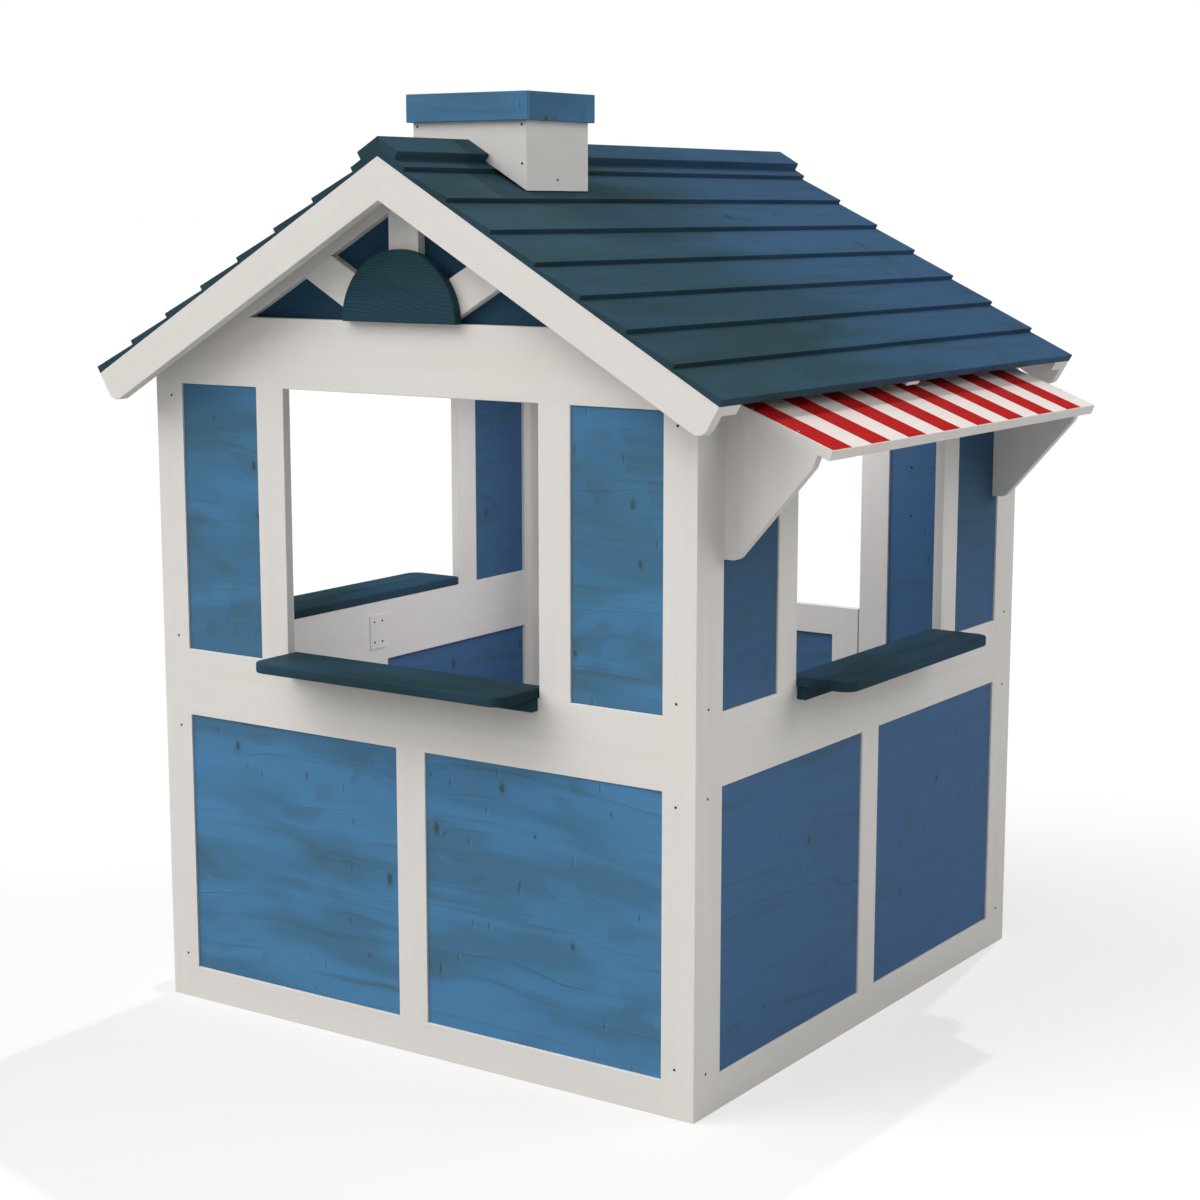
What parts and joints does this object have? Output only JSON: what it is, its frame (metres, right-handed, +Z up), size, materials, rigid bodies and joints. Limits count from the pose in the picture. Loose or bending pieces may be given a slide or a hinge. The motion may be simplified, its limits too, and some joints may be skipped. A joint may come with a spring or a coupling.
{
  "type": "wooden playhouse",
  "caption": "Small wooden playhouse with framed panel walls, open windows with shelves, boarded gable roof, chimney, side awning and a half-height back door.",
  "frame": {"origin": "ground level, at the middle of the outline seen from above, awning and shelves included", "axes": "+Z up, -Y towards the front gable with the half disc, +X towards the awning"},
  "size_m": [1.2952, 1.207, 1.479],
  "materials": {
    "white_paint": "opaque white paint over planed softwood",
    "blue_stain": "satin blue stain, the grain and knots showing",
    "dark_stain": "satin dark blue stain, the grain showing",
    "awning_paint": "white paint with red painted stripes on top",
    "zinc": "zinc plated, dull"
  },
  "bodies": {
    "house": {"front_stiles": "white_paint", "front_bottom_rail": "white_paint", "front_mid_rail": "white_paint", "front_head_board": "white_paint", "front_post": "white_paint", "front_jambs": "white_paint", "front_lower_panels": "blue_stain", "front_upper_panels": "blue_stain", "front_gable_strips": "white_paint", "front_gable_panel": "dark_stain", "sun_rays": "white_paint", "sun_disc": "dark_stain", "right_stiles": "white_paint", "right_bottom_rail": "white_paint", "right_mid_rail": "white_paint", "right_top_rail": "white_paint", "right_post": "white_paint", "right_jambs": "white_paint", "right_lower_panels": "blue_stain", "right_upper_panels": "blue_stain", "left_stiles": "white_paint", "left_bottom_rail": "white_paint", "left_mid_rail": "white_paint", "left_top_rail": "white_paint", "left_post": "white_paint", "left_jambs": "white_paint", "left_lower_panels": "blue_stain", "left_upper_panels": "blue_stain", "back_stiles": "white_paint", "back_bottom_rails": "white_paint", "back_head_board": "white_paint", "back_jambs": "white_paint", "back_panels": "blue_stain", "back_gable_strips": "white_paint", "back_gable_panel": "dark_stain", "corner_posts": "white_paint", "shelves": "dark_stain", "shelf_battens": "dark_stain", "awning_board": "awning_paint", "awning_brackets": "white_paint", "roof_boards_left": "dark_stain", "roof_boards_right": "dark_stain", "roof_battens": "white_paint", "front_bargeboards": "white_paint", "back_bargeboards": "white_paint", "ridge_boards": "dark_stain", "chimney_walls": "white_paint", "chimney_band": "blue_stain", "chimney_lid": "blue_stain", "joint_plates": "white_paint", "wall_screws": "zinc", "door_stop": "white_paint", "hinge_wall_leaves": "zinc", "hinge_pins": "zinc"},
    "door": {"door_stiles": "white_paint", "door_rails": "white_paint", "door_panel": "blue_stain", "door_knob": "white_paint", "hinge_door_leaves": "zinc", "door_screws": "zinc"}
  },
  "joints": [
    {"name": "door_hinge", "type": "hinge", "parent": "house", "child": "door", "pos_m": [0.17913, 0.551, 0.298], "axis": [0, 0, -1], "range_deg": [0, 110]}
  ]
}
